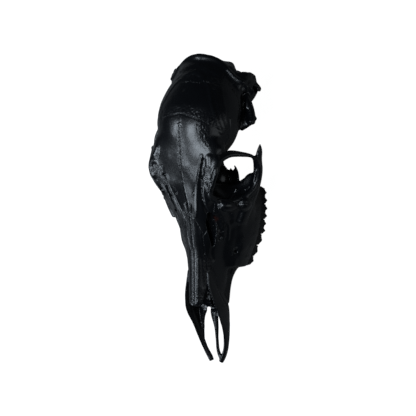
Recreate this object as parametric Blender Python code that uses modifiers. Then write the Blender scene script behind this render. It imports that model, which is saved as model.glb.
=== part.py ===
"""Cranium of a young white-tailed doe without its lower jaw, lying on its cheek teeth and paroccipitals.

Sizes are in millimetres. A place is (across, along, up): across is positive on the animal's left, along
is the distance back from the front tip of the premaxillae, and up is the height over the floor it lies on.
"""

import math

import bmesh
import bpy
import numpy as np
from mathutils import Matrix, Vector

MM = 0.001
FRONT_TIP = -3.7
REAR = 249.0
MIDDLE = (FRONT_TIP + REAR) / 2

MASS_VOXEL = 1.4
BONE_VOXEL = 0.8
BONE_TRIANGLES = 8000
SUTURE = 0.3
REACH = 130.0

MIRROR = Matrix.Diagonal((-1, 1, 1, 1))


def clear_scene():
    for old in list(bpy.data.objects):
        bpy.data.objects.remove(old)


def new_collection(name, hidden=False):
    made = bpy.data.collections.new(name)
    bpy.context.scene.collection.children.link(made)
    made.hide_render = hidden
    return made


# Curves and rings

def smooth_rows(rows, count):
    """The rows of a table at count even steps of its first column, on cubics through the rows."""
    table = np.array(rows, float)
    at = table[:, 0]
    slope = np.gradient(table, at, axis=0)
    steps = np.linspace(at[0], at[-1], count)
    span = np.clip(np.searchsorted(at, steps, side="right") - 1, 0, len(at) - 2)
    width = (at[span + 1] - at[span])[:, None]
    t = ((steps - at[span]) / width[:, 0])[:, None]
    start, end = table[span], table[span + 1]
    return (
        start * (2 * t**3 - 3 * t**2 + 1)
        + slope[span] * width * (t**3 - 2 * t**2 + t)
        + end * (3 * t**2 - 2 * t**3)
        + slope[span + 1] * width * (t**3 - t**2)
    )


def along_path(rows, count, closed=False):
    """Rows that start with a place, at even steps of the length of the smooth path through them."""
    if closed:
        rows = list(rows[-2:]) + list(rows) + list(rows[:3])
    table = np.array(rows, float)
    steps = np.linalg.norm(np.diff(table[:, :3], axis=0), axis=1)
    length = np.concatenate([[0], np.cumsum(steps)])
    fine = smooth_rows(np.column_stack([length, table]), 12 * len(table))
    if closed:
        keep = (fine[:, 0] >= length[2] - 1e-6) & (fine[:, 0] <= length[-3] + 1e-6)
        fine = fine[keep]
    even = np.linspace(fine[0, 0], fine[-1, 0], count + 1 if closed else count)
    made = np.column_stack([np.interp(even, fine[:, 0], column) for column in fine.T])[:, 1:]
    return made[:-1] if closed else made


def oval(across, up, power, count):
    """Points round a superellipse with those half axes. up may be a pair, above and below the middle."""
    above, below = up if isinstance(up, tuple) else (up, up)
    points = []
    for step in range(count):
        angle = 2 * math.pi * step / count
        c, s = math.cos(angle), math.sin(angle)
        points.append((
            across * math.copysign(abs(c) ** (2 / power), c),
            (above if s > 0 else below) * math.copysign(abs(s) ** (2 / power), s),
        ))
    return points


def place(across, along, up):
    return Vector((across, along - MIDDLE, up)) * MM


def skin(name, rings, closed=False):
    """A closed mesh object through rings of places, each ring extruded from the one before."""
    mesh = bmesh.new()
    ring = bmesh.ops.create_circle(mesh, segments=len(rings[0]), radius=1.0)["verts"]
    first = ring
    for vertex, spot in zip(ring, rings[0]):
        vertex.co = spot
    edges = list(mesh.edges)
    for spots in rings[1:]:
        grown = bmesh.ops.extrude_edge_only(mesh, edges=edges)["geom"]
        fresh = {v for v in grown if isinstance(v, bmesh.types.BMVert)}
        ring = [next(e.other_vert(v) for e in v.link_edges if e.other_vert(v) in fresh) for v in ring]
        for vertex, spot in zip(ring, spots):
            vertex.co = spot
        edges = [e for e in grown if isinstance(e, bmesh.types.BMEdge) and set(e.verts) <= fresh]
    if closed:
        opening = [e for e in mesh.edges if e.is_boundary]
        bmesh.ops.bridge_loops(mesh, edges=opening)
    else:
        bmesh.ops.holes_fill(mesh, edges=mesh.edges, sides=0)
    bmesh.ops.recalc_face_normals(mesh, faces=mesh.faces)
    if mesh.calc_volume(signed=True) < 0:
        bmesh.ops.reverse_faces(mesh, faces=mesh.faces)
    data = bpy.data.meshes.new(name)
    mesh.to_mesh(data)
    mesh.free()
    return bpy.data.objects.new(name, data)


def body(name, stations, power=2.0, count=28, steps=24):
    """A loft along the skull from rows of (along, height, half width, up, down, narrowing upwards)."""
    rings = []
    for along, height, half, above, below, narrowing in smooth_rows(stations, steps):
        ring = []
        for x, z in oval(half, (above, below), power, count):
            share = z / (above if z > 0 else below)
            ring.append(place(x * (1 - narrowing * share), along, height + z))
        rings.append(ring)
    return skin(name, rings)


def rod(name, path, lean=(0, 0, 1), power=2.0, count=10, steps=14, closed=False):
    """A bent bar through rows of (across, along, up, half height along lean, half thickness)."""
    rows = along_path(path, steps, closed)
    spots = [Vector(row[:3]) for row in rows]
    rings = []
    for i, row in enumerate(rows):
        if closed:
            ahead, behind = spots[(i + 1) % len(spots)], spots[i - 1]
        else:
            ahead, behind = spots[min(i + 1, len(spots) - 1)], spots[max(i - 1, 0)]
        run = (ahead - behind).normalized()
        side = run.cross(Vector(lean)).normalized()
        tall = side.cross(run)
        ring = []
        for x, z in oval(row[4], row[3], power, count):
            ring.append(place(*(spots[i] + side * x + tall * z)))
        rings.append(ring)
    return skin(name, rings, closed)


def lump(name, spot, radii, turn=(0, 0, 0), rounds=3):
    """An egg with those three radii, turned by degrees about the three axes."""
    mesh = bmesh.new()
    bmesh.ops.create_icosphere(mesh, subdivisions=rounds, radius=1.0)
    data = bpy.data.meshes.new(name)
    mesh.to_mesh(data)
    mesh.free()
    tilt = Matrix.Identity(4)
    for axis, degrees in zip("XYZ", turn):
        tilt = Matrix.Rotation(math.radians(degrees), 4, axis) @ tilt
    data.transform(tilt @ Matrix.Diagonal((*[r * MM for r in radii], 1)))
    data.transform(Matrix.Translation(place(*spot)))
    return bpy.data.objects.new(name, data)


def mirrored(thing):
    """The same form on the animal's right."""
    data = thing.data.copy()
    data.transform(MIRROR)
    data.flip_normals()
    return bpy.data.objects.new(thing.name + "_right", data)


def both(thing):
    return [thing, mirrored(thing)]


# Forms of the bone

BRAINCASE = [
    (118, 55, 12, 10, 14, 0),
    (135, 59, 14, 12, 14, 0),
    (148, 62, 14.5, 15.5, 16, 0),
    (160, 63.5, 17.5, 20.5, 18, 0),
    (169, 63, 23, 24.5, 22, 0),
    (178, 62, 30, 28, 25, 0),
    (190, 60.5, 34, 31, 26, 0),
    (206, 57.5, 34.4, 31.5, 25, 0),
    (219, 54, 31, 28.5, 22, 0),
    (229, 51.5, 26, 24.5, 19, 0),
    (238, 50, 23.5, 20.5, 16, 0),
    (244, 49, 20, 16, 13, 0),
]
BROW = [
    (116, 60, 10, 4.5, 5, 0),
    (124, 64, 15, 4.5, 6, 0),
    (132, 69, 20.6, 4, 7, 0),
    (140, 74.5, 27, 3.5, 7, 0),
    (150, 79, 31, 3, 6, 0),
    (158, 80.5, 32.5, 3, 5, 0),
    (165, 80.5, 32, 3, 6, 0),
    (173, 79, 28, 4, 7, 0),
    (183, 76, 28, 4, 9, 0),
    (191, 74, 25, 4, 9, 0),
]
SEPTUM = [
    (120, 52, 16, 14, 16, 0),
    (135, 54, 14, 16, 18, 0),
    (150, 56, 13.5, 18, 18, 0),
    (165, 56, 14.5, 18, 17, 0),
    (180, 54, 17, 18, 16, 0),
]
FACE = [
    (44, 33, 10.5, 18.5, 14, 0.25),
    (60, 35, 12.3, 18.5, 17, 0.3),
    (76, 36, 14.5, 19.5, 18, 0.36),
    (90, 38, 17.5, 19.5, 21, 0.4),
    (105, 42, 22, 20.5, 24, 0.38),
    (114, 44, 26, 21.2, 24, 0.46),
    (123, 46.5, 30.8, 22, 23.5, 0.4),
    (131, 48.5, 34, 23, 22, 0.25),
    (140, 50, 35, 22, 18, 0.2),
    (146, 50, 32, 20, 14, 0.2),
]
BASE = [
    (154, 44, 6.5, 6, 5, 0),
    (165, 41, 7, 8, 6, 0),
    (176, 38, 8, 10, 7, 0),
    (195, 34, 10, 10, 7, 0),
    (215, 31, 12.5, 12, 7, 0),
    (230, 32, 17, 12, 8, 0),
    (235.5, 33, 15, 8, 8, 0),
]
ORBIT_RIM = [
    (30.8, 156, 80.8, 1.8, 2.3),
    (27.2, 146, 78.6, 1.7, 2.3),
    (22.6, 137, 72.2, 1.9, 2.4),
    (26, 132.3, 61, 2.4, 2.6),
    (35, 134.5, 50, 2.8, 3),
    (42, 142, 42.5, 3.5, 3.4),
    (44.8, 152, 40.5, 4.2, 3.4),
    (46.3, 161, 43.5, 4.6, 2.2),
    (46.2, 169, 51, 3, 1.3),
    (41, 170.8, 61, 2.6, 2.3),
    (33.8, 170.2, 69.5, 3.8, 2.8),
    (30.4, 163.8, 77.8, 2.8, 2.8),
]
JUGAL = [
    (30, 116, 36, 5, 4),
    (36, 130, 38.5, 6, 4.5),
    (42, 144, 38.5, 5.5, 3.5),
    (45.6, 157, 40, 5, 2.4),
    (47.6, 168, 44.5, 4.2, 1.9),
]
JUGAL_TIP = [
    (48.9, 174, 46.4, 3.4, 1.9),
    (50.3, 180.5, 48.6, 0.6, 0.5),
]
ARCH_MIDDLE = [
    (46.8, 178, 48, 3.2, 1.8),
]
ARCH_ROOT = [
    (42.4, 190, 47.5, 3, 2.2),
    (38.8, 201, 45, 3, 3.4),
    (33.5, 212, 43.5, 3, 4),
    (28, 220, 42, 3, 4),
]
GLENOID = [
    (28, 193, 47, 3.4, 5.6),
    (34, 198.4, 44.5, 3, 6.4),
    (37.2, 203.6, 43, 2.6, 7.4),
]
ROW = [
    (77, 16.5),
    (90, 21.6),
    (98, 24.8),
    (108, 27.2),
    (119, 28),
    (130, 27.8),
    (141, 26),
]
CHEEK_TEETH = [
    # front edge, length, lobes
    (79.3, 7.2, 1),
    (86.6, 9.2, 1),
    (96.3, 9.0, 1),
    (105.8, 11.6, 2),
    (117.9, 12.2, 2),
    (130.6, 12.6, 2),
]
BONY_EDGE = 8.5


def row_middle(along):
    """How far across the middle of the tooth row is."""
    table = np.array(ROW)
    return float(np.interp(along, table[:, 0], table[:, 1]))


def mass_forms():
    """The thick forms, which are blended into one before the thin ones are joined on."""
    forms = [
        body("braincase", BRAINCASE, steps=40),
        body("brow", BROW, power=2.6, steps=24),
        body("septum", SEPTUM, steps=12),
        body("face", FACE, power=2.5, steps=30),
        body("base", BASE, power=2.4, steps=20),
    ]
    bed = [(row_middle(s) + 0.6, s, 18, 18 - BONY_EDGE, 5.8) for s in (79, 90, 102, 114, 126, 138)]
    bed.append((24.5, 147, 22, 8, 5))
    forms += both(rod("tooth_bed", bed, steps=24, power=2.8, count=14))
    forms += both(rod("cheek_wall", [
        (17, 78, 24, 9, 3.6),
        (20.2, 90, 27, 12, 4.2),
        (23.2, 104, 29, 14, 5.2),
        (26, 118, 31, 15, 7),
        (28, 132, 33, 14, 7),
        (29, 142, 34, 10, 6),
    ], lean=(-0.35, 0, 1), steps=20, count=14))
    forms += both(lump("mastoid", (30, 229, 43), (9.2, 8.8, 11)))
    forms += both(lump("brow_corner", (26.5, 174, 74), (6.5, 6, 6)))
    forms += both(lump("orbit_floor", (35, 142, 40.5), (12, 9.5, 5), (0, 0, 40)))
    forms += both(lump("orbit_sill", (39, 149.5, 41), (6, 8, 3.5), (0, 0, -20)))
    forms += both(rod("gap_edge", [
        (12, 40, 20, 3.6, 2.6),
        (11.6, 50, 19.5, 4, 2.8),
        (11.6, 62, 18.6, 4, 3),
        (13, 71, 18, 4.4, 3.2),
        (16, 79, 17, 5.4, 3.6),
    ], steps=10))
    return forms


TORN_EDGE = [
    (8, 158), (13, 159), (15.5, 161.5), (17, 160.5), (18.5, 157), (20.5, 157.6), (21, 159.2), (22, 156.6),
    (25, 158.8), (27.8, 162), (28.8, 157), (29, 150), (29.6, 144), (34, 141), (60, 141), (60, 190), (8, 190),
]
NOSE_MOUTH = [(30, 47.2), (30, 10), (46, 10), (47, 22), (58, 46.8)]
NASAL_NOTCH = [(2.6, 38), (4.6, 50), (6.2, 38)]
NASAL_CORNER = [(8.4, 38), (9.4, 46), (11, 52), (16, 52), (16, 38)]


def broken_bulla():
    """The left tear bulla, a thin bowl broken away above and behind to a jagged edge with one splinter."""
    bowl = lump("tear_bulla", (22, 149, 48), (10.5, 15, 10), (8, 0, 0))
    bpy.context.scene.collection.objects.link(bowl)
    boolean(bowl, [
        lump("inside", (22, 149.6, 49.6), (9.3, 13.9, 10), (8, 0, 0)),
        slab("torn", TORN_EDGE, "above", -REACH, REACH),
        slab("opened", [(120, 50), (170, 47), (170, 90), (120, 90)], "side", -5, 60),
    ], "DIFFERENCE")
    return bowl


def thin_forms():
    forms = both(rod("orbit_rim", ORBIT_RIM, lean=(0.9, -0.25, 0.37), steps=48, closed=True))
    forms.append(mirrored(rod("arch", JUGAL + ARCH_MIDDLE + ARCH_ROOT, steps=34, power=2.4)))
    forms.append(rod("broken_jugal", JUGAL + JUGAL_TIP, steps=22, power=2.4))
    forms.append(rod("broken_root", [(40, 195, 46.4, 3.4, 2.8)] + ARCH_ROOT[1:], steps=12, power=2.4))
    forms += both(rod("glenoid_shelf", GLENOID, lean=(0, 0, 1), steps=8, power=2.6))
    forms.append(mirrored(lump("tear_bulla", (23.5, 147, 46), (8.5, 12, 8), (8, 0, 0))))
    forms.append(broken_bulla())
    forms.append(rod("palate_shelf_left", [
        (6.4, 49, 20.6, 1.5, 6.2),
        (6.8, 42, 19.8, 1.3, 5.6),
        (7.2, 35.5, 18.4, 1.1, 4.4),
    ], steps=8))
    forms.append(rod("palate_shelf_right", [
        (-7.6, 50, 20.8, 1.5, 7),
        (-9.3, 42, 19.6, 1.3, 4.6),
        (-11, 35, 18.2, 1.1, 3.2),
        (-11.6, 25, 16.2, 1, 2.4),
        (-11.4, 13, 13.4, 1, 1.6),
    ], steps=10))
    forms += both(rod("premaxilla_blade", [
        (9, 74, 46, 3, 1.4),
        (10.6, 62, 41, 7, 1.6),
        (13, 52, 34, 9.5, 1.6),
        (14.8, 43, 29, 9, 1.6),
        (14.2, 31, 22.5, 6.2, 1.6),
        (12.4, 18, 16.4, 3.8, 1.7),
        (9.4, 7, 12, 2.8, 1.9),
        (5.4, -1, 9.6, 2.4, 2.2),
        (4.4, -3, 9.4, 2, 2),
    ], steps=28))
    forms.append(rod("palatine_process", [
        (5.6, -1.5, 9.6, 2.1, 1.9),
        (3, 4, 11, 1.8, 1.5),
        (1.8, 16, 13.6, 1.6, 1.2),
        (1.4, 26, 15.2, 1.7, 1.8),
        (0.2, 36, 17.2, 1.8, 3.6),
        (0, 46, 19, 2, 5),
    ], steps=16))
    forms += both(rod("paroccipital", [
        (26.5, 227.5, 38, 6.5, 5),
        (26, 227.5, 26, 5.2, 3.4),
        (23, 225.8, 13, 4, 2.3),
        (19.4, 223.6, -0.5, 2.4, 1.8),
    ], lean=(0, 1, 0), steps=12))
    forms += both(rod("meatus", [
        (22, 212, 33, 6, 6),
        (30, 219, 36.6, 6, 6),
        (36.8, 225.4, 40, 4.6, 4.6),
    ], steps=6, count=14))
    forms += both(lump("condyle", (12.5, 229.5, 30), (8.5, 8, 9.5), (25, 0, -20)))
    forms += both(lump("bulla", (15.5, 208, 26), (5.5, 10, 8), (0, 18, -12)))
    forms += both(rod("pterygoid_plate", [
        (10.5, 130, 28, 9, 1.4),
        (9.6, 143, 29, 9, 1.1),
        (8.2, 154, 34, 7, 1.1),
        (7.4, 165, 37, 4.5, 1.3),
    ], steps=12))
    forms.append(rod("nuchal_crest", [
        (-31, 219, 50, 4, 3),
        (-27.6, 229, 53.5, 3.6, 2.8),
        (-22, 237.4, 57.2, 3.2, 2.6),
        (-11.5, 244.8, 61.5, 3, 2.6),
        (0, 246.4, 64.5, 3.2, 2.8),
        (11.5, 244.8, 61.5, 3, 2.6),
        (22, 237.4, 57.2, 3.2, 2.6),
        (27.6, 229, 53.5, 3.6, 2.8),
        (31, 219, 50, 4, 3),
    ], steps=30))
    return forms


NASAL_CAVITY = [
    (18, 34, 8, 20, 14, 0),
    (34, 34, 8.5, 18, 13, 0.1),
    (48, 34, 9, 15.5, 12, 0.2),
    (62, 36, 10.5, 15.5, 13, 0.3),
    (80, 38, 13, 16, 14, 0.36),
    (98, 41, 16.5, 17, 16, 0.36),
    (112, 44, 19, 16, 16, 0.3),
    (120, 46, 15, 10, 10, 0.2),
]


def hollows():
    """The wide spaces, cut before the thin forms are joined on."""
    forms = [
        body("nasal_cavity", NASAL_CAVITY, power=2.2, steps=26),
        rod("palate_vault", [
            (0, 72, 3, 11, 11),
            (0, 90, 4, 13, 14),
            (0, 110, 5, 15.5, 19),
            (0, 130, 5, 16, 19.5),
            (0, 160, 3, 14, 18),
        ], steps=10, count=20, power=2.4),
        rod("choana", [
            (0, 126, 30, 6, 6.5),
            (0, 145, 25, 11, 8),
            (0, 165, 22, 13, 8),
        ], steps=8, count=16, power=2.4),
    ]
    forms += both(lump("orbit_socket", (40, 150.5, 62), (26, 19.5, 19)))
    forms.append(slab("nose_mouth", NOSE_MOUTH, "side", -40, 40))
    return forms


def holes():
    forms = [
        rod("foramen_magnum", [
            (0, 218, 36, 7, 7),
            (0, 232, 34, 8.5, 8.5),
            (0, 256, 32, 10, 11),
        ], steps=6, count=20),
    ]
    forms += both(slab("nasal_notch", NASAL_NOTCH, "above", 46.9, REACH))
    forms += both(slab("nasal_corner", NASAL_CORNER, "above", 46.9, REACH))
    forms += both(rod("meatus_hole", [
        (31, 219.6, 37.2, 2.6, 2.6),
        (46, 227.6, 42, 3.2, 3.2),
    ], steps=4))
    forms += both(rod("face_window", [
        (13.5, 97, 50, 2.2, 6),
        (14.5, 106, 54, 3.6, 6),
        (15.5, 114, 58, 4.2, 6),
        (15.5, 122, 61.5, 3, 6),
    ], lean=(-0.5, -0.4, 0.8), steps=8, count=10))
    return forms


def tooth_forms(side):
    """The crowns of one cheek row, each lobe a bar that comes down to a blunt cusp."""
    forms = []
    for front, length, lobes in CHEEK_TEETH:
        pitch = length / lobes
        for lobe in range(lobes):
            along = front + pitch * (lobe + 0.5)
            middle = row_middle(along)
            wide = 5.4 if lobes == 2 else 4.6
            forms.append(rod("crown", [
                (side * middle, along, 16, pitch * 0.5, wide),
                (side * (middle + 0.6), along, 8, pitch * 0.5, wide),
                (side * (middle + 2), along, 3, pitch * 0.5, wide * 0.82),
                (side * (middle + 3), along, -0.6, pitch * 0.3, wide * 0.5),
            ], lean=(0, 1, 0), steps=5, count=8, power=2.6))
    return forms


# Solids that bound the bones

def grown(outline, by):
    """An outline moved outwards all round."""
    spots = np.array(outline, float)
    ahead, behind = np.roll(spots, -1, axis=0), np.roll(spots, 1, axis=0)
    area = np.sum(spots[:, 0] * ahead[:, 1] - ahead[:, 0] * spots[:, 1])
    turn = 1 if area > 0 else -1
    into, out = spots - behind, ahead - spots
    into /= np.linalg.norm(into, axis=1)[:, None]
    out /= np.linalg.norm(out, axis=1)[:, None]
    normal = np.column_stack([into[:, 1] + out[:, 1], -into[:, 0] - out[:, 0]]) * turn
    normal /= np.linalg.norm(normal, axis=1)[:, None]
    lean = np.abs(normal[:, 0] * out[:, 1] - normal[:, 1] * out[:, 0])
    return spots + normal * (by / np.maximum(lean, 0.5))[:, None]


def slab(name, outline, view, near, far):
    """An outline drawn from above as (across, along) or from the side as (along, up), given depth."""
    if view == "above":
        rings = [[place(x, s, z) for x, s in outline] for z in (near, far)]
    else:
        rings = [[place(x, s, z) for s, z in outline] for x in (near, far)]
    return skin(name, rings)


def region(above, side, inner, outer, by=0.0):
    """The solid inside both outlines, from inner to outer across, grown on every face."""
    first = slab("region", grown(side, by), "side", inner - by, outer + by)
    bpy.context.scene.collection.objects.link(first)
    if above:
        boolean(first, [slab("above", grown(above, by), "above", -REACH, REACH)], "INTERSECT")
    return first


NASAL_ABOVE = [
    (0, 38), (11.5, 38), (11, 50), (9.2, 66), (8.2, 84),
    (8.4, 98), (9, 106), (5.5, 114), (1.5, 121), (0, 121),
]
NASAL_SIDE = [(38, 44), (50, 46.5), (65, 49.5), (85, 52.5), (105, 55), (124, 59), (124, 90), (38, 90)]
FRONTAL_ABOVE = [
    (0, 100), (10, 104), (16, 116), (21.5, 130), (23, 140), (60, 140), (60, 184),
    (32, 190), (18, 196), (8, 199), (0, 201),
]
FRONTAL_SIDE = [
    (100, 54), (120, 54), (134, 60), (150, 56), (172, 57), (184, 68), (204, 76), (204, 110), (100, 110),
]
PARIETAL_SIDE = [(170, 60), (214, 57), (226, 62), (225, 110), (170, 110)]
TEMPORAL_ABOVE = [(8.5, 194), (8.5, 221), (22, 226), (60, 226), (60, 170), (19, 170), (19, 190)]
TEMPORAL_SIDE = [
    (170, 33), (196, 31), (198, 12), (219.5, 12), (219.5, 33),
    (226, 33), (226, 64), (214, 57.3), (170, 60.3),
]
LACRIMAL_ABOVE = [
    (12, 108), (24, 106), (31, 116), (40, 131), (33.5, 141), (33.5, 164), (13, 164), (13, 140), (18, 128),
]
LACRIMAL_SIDE = [(104, 47), (126, 49), (136, 37), (164, 37), (164, 57), (140, 60), (140, 84), (104, 84)]
CHEEK_ABOVE = [
    (28, 110), (70, 110), (70, 181), (41, 181), (41, 163), (34, 158), (34, 140), (38, 131), (32, 118),
]
CHEEK_SIDE = [(110, 38), (124, 34), (150, 31), (181, 34), (181, 58.5), (164, 57), (140, 55), (110, 52)]
PREMAXILLA_ABOVE = [(0, -20), (0, 27), (6, 27), (6, 90), (70, 90), (70, -20)]
PREMAXILLA_SIDE = [(-10, -5), (37, -5), (41, 22), (56, 34), (74, 43), (78, 48), (78, 70), (-10, 70)]
MAXILLA_ABOVE = [(0, 26), (70, 26), (70, 154), (14, 154), (14, 130), (12, 122), (0, 120)]
MAXILLA_SIDE = [(26, -5), (154, -5), (154, 36), (136, 37), (134, 70), (26, 70)]
OCCIPITAL_SIDE = [(197, -5), (270, -5), (270, 110), (218, 110), (218, 43), (197, 43)]


def boolean(base, others, operation):
    """Joins or cuts base with a list of objects, which are then removed."""
    group = new_collection("operands", hidden=True)
    for other in others:
        for held in list(other.users_collection):
            held.objects.unlink(other)
        group.objects.link(other)
    modifier = base.modifiers.new(operation.lower(), "BOOLEAN")
    modifier.operation = operation
    modifier.solver = "MANIFOLD"
    modifier.operand_type = "COLLECTION"
    modifier.collection = group
    apply_modifiers(base)
    for other in others:
        bpy.data.objects.remove(other)
    bpy.data.collections.remove(group)


def apply_modifiers(thing):
    bpy.context.view_layer.update()
    graph = bpy.context.evaluated_depsgraph_get()
    data = bpy.data.meshes.new_from_object(thing.evaluated_get(graph))
    thing.modifiers.clear()
    thing.data = data


def remesh(thing, voxel, rounds):
    grid = thing.modifiers.new("remesh", "REMESH")
    grid.mode = "VOXEL"
    grid.voxel_size = voxel * MM
    ease = thing.modifiers.new("smooth", "SMOOTH")
    ease.factor = 0.5
    ease.iterations = rounds
    apply_modifiers(thing)


def decimate(thing, triangles):
    thing.data.calc_loop_triangles()
    thin = thing.modifiers.new("decimate", "DECIMATE")
    thin.ratio = min(1.0, triangles / len(thing.data.loop_triangles))
    thin.use_collapse_triangulate = True
    apply_modifiers(thing)


def keep_largest(thing):
    """Leaves only the shell with the most surface."""
    mesh = bmesh.new()
    mesh.from_mesh(thing.data)
    shells, seen = [], set()
    for face in mesh.faces:
        if face in seen:
            continue
        shell, edge = [], [face]
        seen.add(face)
        while edge:
            here = edge.pop()
            shell.append(here)
            for side in here.edges:
                for other in side.link_faces:
                    if other not in seen:
                        seen.add(other)
                        edge.append(other)
        shells.append(shell)
    shells.sort(key=lambda shell: -sum(f.calc_area() for f in shell))
    loose = [v for shell in shells[1:] for f in shell for v in f.verts]
    bmesh.ops.delete(mesh, geom=list(set(loose)), context="VERTS")
    mesh.to_mesh(thing.data)
    mesh.free()


def part_off(whole, bones, names, above, side, inner=SUTURE / 2):
    """Takes the bones inside a region off the whole, one on each side when there are two names."""
    for name, hand in zip(names, (1, -1)):
        if len(names) == 1:
            solid = region(above, side, -REACH, REACH)
        else:
            solid = region(above, side, inner, REACH)
            if hand < 0:
                data = solid.data
                data.transform(MIRROR)
                data.flip_normals()
        solid.name = name
        copy = bpy.data.objects.new("whole", whole.data.copy())
        boolean(solid, [copy], "INTERSECT")
        solid.users_collection[0].objects.unlink(solid)
        bones.objects.link(solid)
        keep_largest(solid)
    if len(names) == 1:
        takes = [region(above, side, -REACH, REACH, SUTURE)]
    elif inner <= SUTURE:
        wide = list(above or [])
        if wide:
            wide = wide + [(-x, s) for x, s in reversed(wide) if x > 0]
        takes = [region(wide, side, -REACH, REACH, SUTURE)]
    else:
        left = region(above, side, inner, REACH, SUTURE)
        takes = [left, mirrored(left)]
    boolean(whole, takes, "DIFFERENCE")


def settle(things):
    """Moves the bones so that their box is centred over the origin."""
    corners = [Vector(corner) for thing in things for corner in thing.bound_box]
    low = Vector([min(c[i] for c in corners) for i in range(3)])
    high = Vector([max(c[i] for c in corners) for i in range(3)])
    shift = (low + high) / -2
    shift.z = -low.z
    for thing in things:
        thing.data.transform(Matrix.Translation(shift))


def paint(thing, colour):
    material = bpy.data.materials.new(thing.name)
    material.use_nodes = True
    shader = material.node_tree.nodes["Principled BSDF"]
    shader.inputs["Base Color"].default_value = (*colour, 1)
    shader.inputs["Roughness"].default_value = 0.3
    thing.data.materials.clear()
    thing.data.materials.append(material)


def main():
    clear_scene()
    bones = new_collection("deer_skull")
    forms = mass_forms()
    whole = forms[0]
    bones.objects.link(whole)
    boolean(whole, forms[1:], "UNION")
    remesh(whole, MASS_VOXEL, 6)
    boolean(whole, hollows(), "DIFFERENCE")
    boolean(whole, thin_forms(), "UNION")
    boolean(whole, holes(), "DIFFERENCE")
    remesh(whole, BONE_VOXEL, 3)
    decimate(whole, BONE_TRIANGLES)
    boolean(whole, tooth_forms(1) + tooth_forms(-1), "UNION")
    floor = slab("floor", [(-REACH, -50), (REACH, -50), (REACH, 300), (-REACH, 300)], "above", -20, 0)
    boolean(whole, [floor], "DIFFERENCE")
    keep_largest(whole)

    part_off(whole, bones, ("nasal_left", "nasal_right"), NASAL_ABOVE, NASAL_SIDE)
    part_off(whole, bones, ("frontal_left", "frontal_right"), FRONTAL_ABOVE, FRONTAL_SIDE)
    part_off(whole, bones, ("parietal",), None, PARIETAL_SIDE)
    part_off(whole, bones, ("premaxilla_left", "premaxilla_right"), PREMAXILLA_ABOVE, PREMAXILLA_SIDE)
    part_off(whole, bones, ("lacrimal_left", "lacrimal_right"), LACRIMAL_ABOVE, LACRIMAL_SIDE, 12)
    part_off(whole, bones, ("zygomatic_left", "zygomatic_right"), CHEEK_ABOVE, CHEEK_SIDE, 28)
    part_off(whole, bones, ("maxilla_left", "maxilla_right"), MAXILLA_ABOVE, MAXILLA_SIDE)
    part_off(whole, bones, ("temporal_left", "temporal_right"), TEMPORAL_ABOVE, TEMPORAL_SIDE, 8.5)
    part_off(whole, bones, ("occipital",), None, OCCIPITAL_SIDE)
    whole.name = "palatine_and_sphenoid"
    keep_largest(whole)

    settle(bones.objects)
    for thing in bones.objects:
        thing.data.name = thing.name
        paint(thing, (0.012, 0.014, 0.018))


main()
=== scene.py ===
"""The looks of a young doe's cranium in gloss black paint, modelled whole and parted along its sutures.

Sizes are in millimetres. A place is (across, along, up): across is positive on the animal's left, along is
the distance back from the front tip of the premaxillae, and up is the height over the floor it lies on.
"""

import math

import bmesh
import bpy
import numpy as np
from mathutils import Matrix, Vector, noise
from mathutils.bvhtree import BVHTree


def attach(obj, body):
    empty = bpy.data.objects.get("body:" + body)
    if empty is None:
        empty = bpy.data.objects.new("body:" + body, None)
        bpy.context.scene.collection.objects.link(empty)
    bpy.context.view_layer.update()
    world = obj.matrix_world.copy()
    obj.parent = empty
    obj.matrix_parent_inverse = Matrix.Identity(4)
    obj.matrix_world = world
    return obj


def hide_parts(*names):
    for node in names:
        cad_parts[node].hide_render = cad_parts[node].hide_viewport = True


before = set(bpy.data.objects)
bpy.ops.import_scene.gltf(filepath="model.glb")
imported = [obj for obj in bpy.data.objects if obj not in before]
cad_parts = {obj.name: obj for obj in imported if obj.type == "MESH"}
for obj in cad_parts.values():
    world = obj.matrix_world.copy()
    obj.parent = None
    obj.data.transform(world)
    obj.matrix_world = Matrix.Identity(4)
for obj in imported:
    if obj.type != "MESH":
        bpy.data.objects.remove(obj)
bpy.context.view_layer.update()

MM = 0.001

# How far back from the tip of the premaxillae the frame's origin lies.
MIDDLE = 122.89

# Voxel sizes and smoothing rounds of the three blends, from the thick forms to the thin ones.
MASS_BLEND = (1.0, 36)
JOINED_BLEND = (0.8, 8)
BONE_BLEND = (0.55, 3)
FOREHEAD_ROUNDS = 110

# The width of the seams between bones, and the height of the lowest points over the floor.
SEAM = 0.02
FLOOR_LEVEL = 0.05

# Farther than the skull reaches in any direction.
REACH = 130.0

# The animal's left and right.
PAIR = (1, -1)
MIRROR = Matrix.Diagonal((-1, 1, 1, 1))

# The frame is centred on the box round the skull, which the broken left cheek bone makes wider on one side.
CENTRED = Matrix.Translation((-0.2 * MM, 0, 0))


# Curves and rings

def smooth_rows(rows, count):
    """The rows of a table at count even steps of its first column, on cubics through the rows."""
    table = np.array(rows, float)
    at = table[:, 0]
    slope = np.gradient(table, at, axis=0)
    steps = np.linspace(at[0], at[-1], count)
    span = np.clip(np.searchsorted(at, steps, side="right") - 1, 0, len(at) - 2)
    width = (at[span + 1] - at[span])[:, None]
    t = ((steps - at[span]) / width[:, 0])[:, None]
    start, end = table[span], table[span + 1]
    return (
        start * (2 * t**3 - 3 * t**2 + 1)
        + slope[span] * width * (t**3 - 2 * t**2 + t)
        + end * (3 * t**2 - 2 * t**3)
        + slope[span + 1] * width * (t**3 - t**2)
    )


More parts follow.
